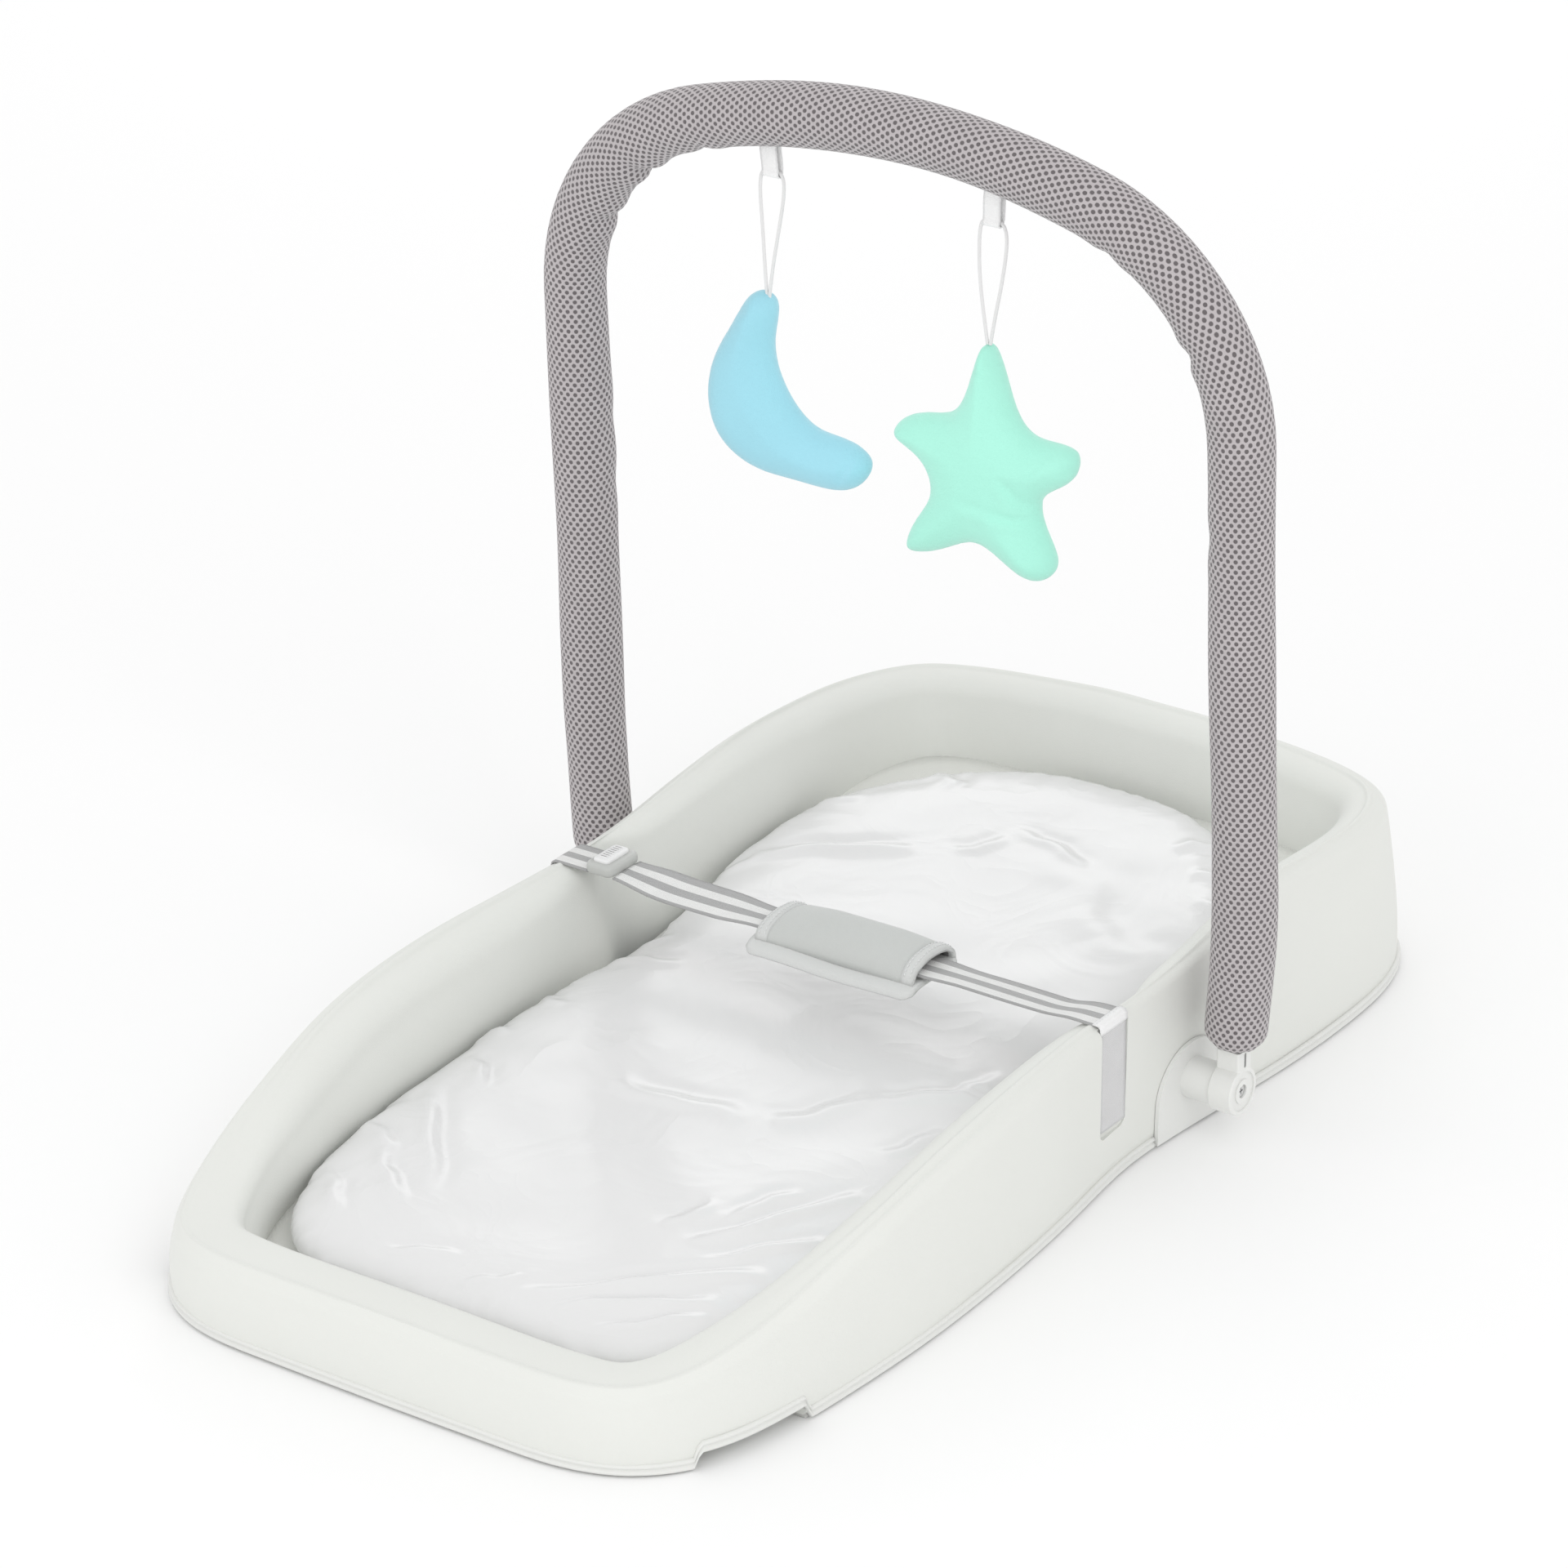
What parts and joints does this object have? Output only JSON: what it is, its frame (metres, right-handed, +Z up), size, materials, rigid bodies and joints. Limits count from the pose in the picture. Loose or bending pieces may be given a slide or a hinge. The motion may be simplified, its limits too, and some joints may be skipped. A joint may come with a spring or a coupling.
{
  "type": "infant bouncer seat",
  "caption": "Low padded infant seat: an oblong tub with a soft mattress, a waist strap with buckle and pad, and a swinging mesh-covered toy bar with a plush moon and star.",
  "frame": {"origin": "centre of the tub's underside, on the floor", "axes": "+X to the right seen from the foot end, +Y towards the head end along the longest side, +Z up"},
  "size_m": [0.472, 0.7668, 0.5659],
  "materials": {
    "cover_fabric": "soft coated off-white fabric with a fine leathery grain, padded",
    "binding": "off-white piping and bound edges",
    "vinyl": "glossy white wipe-clean sheet, softly wrinkled",
    "foam": "soft polyurethane foam",
    "toy_bar_foam": "soft foam tube",
    "board": "stiff light board",
    "frame_steel": "powder-coated steel tube",
    "hub_plastic": "satin off-white moulded plastic",
    "screw_steel": "plain steel",
    "mesh_sleeve": "warm grey spacer mesh with dark holes in diagonal rows",
    "bar_tube": "plain extruded tube",
    "button_grey": "dark grey satin",
    "webbing": "ribbed webbing with grey and white stripes along it",
    "buckle_plastic": "light grey moulded plastic with a white press panel",
    "buckle_white": "white moulded plastic",
    "pad_panel": "grey-blue brushed knit",
    "pad_binding": "light grey bound edge with two rows of stitching",
    "tab_ribbon": "white woven ribbon",
    "toy_cord": "flat white cord",
    "plush_blue": "light blue brushed knit, stuffed",
    "plush_mint": "mint green brushed knit, stuffed"
  },
  "bodies": {
    "root": {"base_board": "board", "incline_wedge": "foam", "floor_lining": "cover_fabric", "bolster_foot": "foam", "bolster_head": "foam", "bolster_left": "foam", "bolster_right": "foam", "frame_hoop_foot": "frame_steel", "frame_hoop_head": "frame_steel", "hub_block_left": "hub_plastic", "hub_block_right": "hub_plastic", "tub_cover": "cover_fabric", "hem_binding": "binding", "hub_plate_left": "hub_plastic", "hub_plate_right": "hub_plastic", "hub_boss_left": "hub_plastic", "hub_boss_right": "hub_plastic", "pivot_screw_left": "screw_steel", "pivot_screw_right": "screw_steel", "mattress_cover": "vinyl", "mattress_foam": "foam", "waist_strap_left": "webbing", "waist_strap_right": "webbing", "strap_anchor_left": "webbing", "strap_anchor_right": "webbing", "buckle_body": "buckle_plastic"},
    "toy_bar": {"toy_bar_knuckle_left": "hub_plastic", "toy_bar_knuckle_right": "hub_plastic", "toy_bar_tube": "bar_tube", "toy_bar_foam": "toy_bar_foam", "toy_bar_sleeve": "mesh_sleeve", "toy_tab_moon": "tab_ribbon", "toy_tab_star": "tab_ribbon"},
    "button_left": {"release_button_left": "button_grey"},
    "button_right": {"release_button_right": "button_grey"},
    "moon_cord": {"toy_cord_moon": "toy_cord"},
    "moon_toy": {"plush_moon": "plush_blue"},
    "star_cord": {"toy_cord_star": "toy_cord"},
    "star_toy": {"plush_star": "plush_mint"},
    "belly_pad": {"belly_pad_panel": "pad_panel", "belly_pad_binding_left": "pad_binding", "belly_pad_binding_right": "pad_binding", "belly_pad_base": "pad_binding"},
    "buckle_press": {"buckle_button": "buckle_white"}
  },
  "joints": [
    {"name": "toy_bar_swing", "type": "hinge", "parent": "root", "child": "toy_bar", "pos_m": [0, 0.0985, 0.032], "axis": [1, 0, 0], "range_deg": [-70, 70]},
    {"name": "release_left", "type": "slide", "parent": "toy_bar", "child": "button_left", "axis": [1, 0, 0], "range_m": [0, 0.002], "stiffness_N_per_m": 300},
    {"name": "release_right", "type": "slide", "parent": "toy_bar", "child": "button_right", "axis": [-1, 0, 0], "range_m": [0, 0.002], "stiffness_N_per_m": 300},
    {"name": "moon_cord_swing", "type": "hinge", "parent": "toy_bar", "child": "moon_cord", "pos_m": [-0.078, 0.0853, 0.5075], "axis": [1, 0, 0], "range_deg": [-28, 28]},
    {"name": "moon_sway", "type": "hinge", "parent": "moon_cord", "child": "moon_toy", "pos_m": [-0.082, 0.0853, 0.435], "axis": [0, 1, 0], "range_deg": [-15, 15]},
    {"name": "star_cord_swing", "type": "hinge", "parent": "toy_bar", "child": "star_cord", "pos_m": [0.064, 0.0853, 0.5075], "axis": [1, 0, 0], "range_deg": [-28, 28]},
    {"name": "star_sway", "type": "hinge", "parent": "star_cord", "child": "star_toy", "pos_m": [0.0615, 0.0853, 0.438], "axis": [0, 1, 0], "range_deg": [-15, 15]},
    {"name": "belly_pad_slide", "type": "slide", "parent": "root", "child": "belly_pad", "axis": [1, 0, 0], "range_m": [-0.03, 0.04]},
    {"name": "buckle_press", "type": "slide", "parent": "root", "child": "buckle_press", "axis": [0, 0, -1], "range_m": [0, 0.0012], "stiffness_N_per_m": 800}
  ]
}
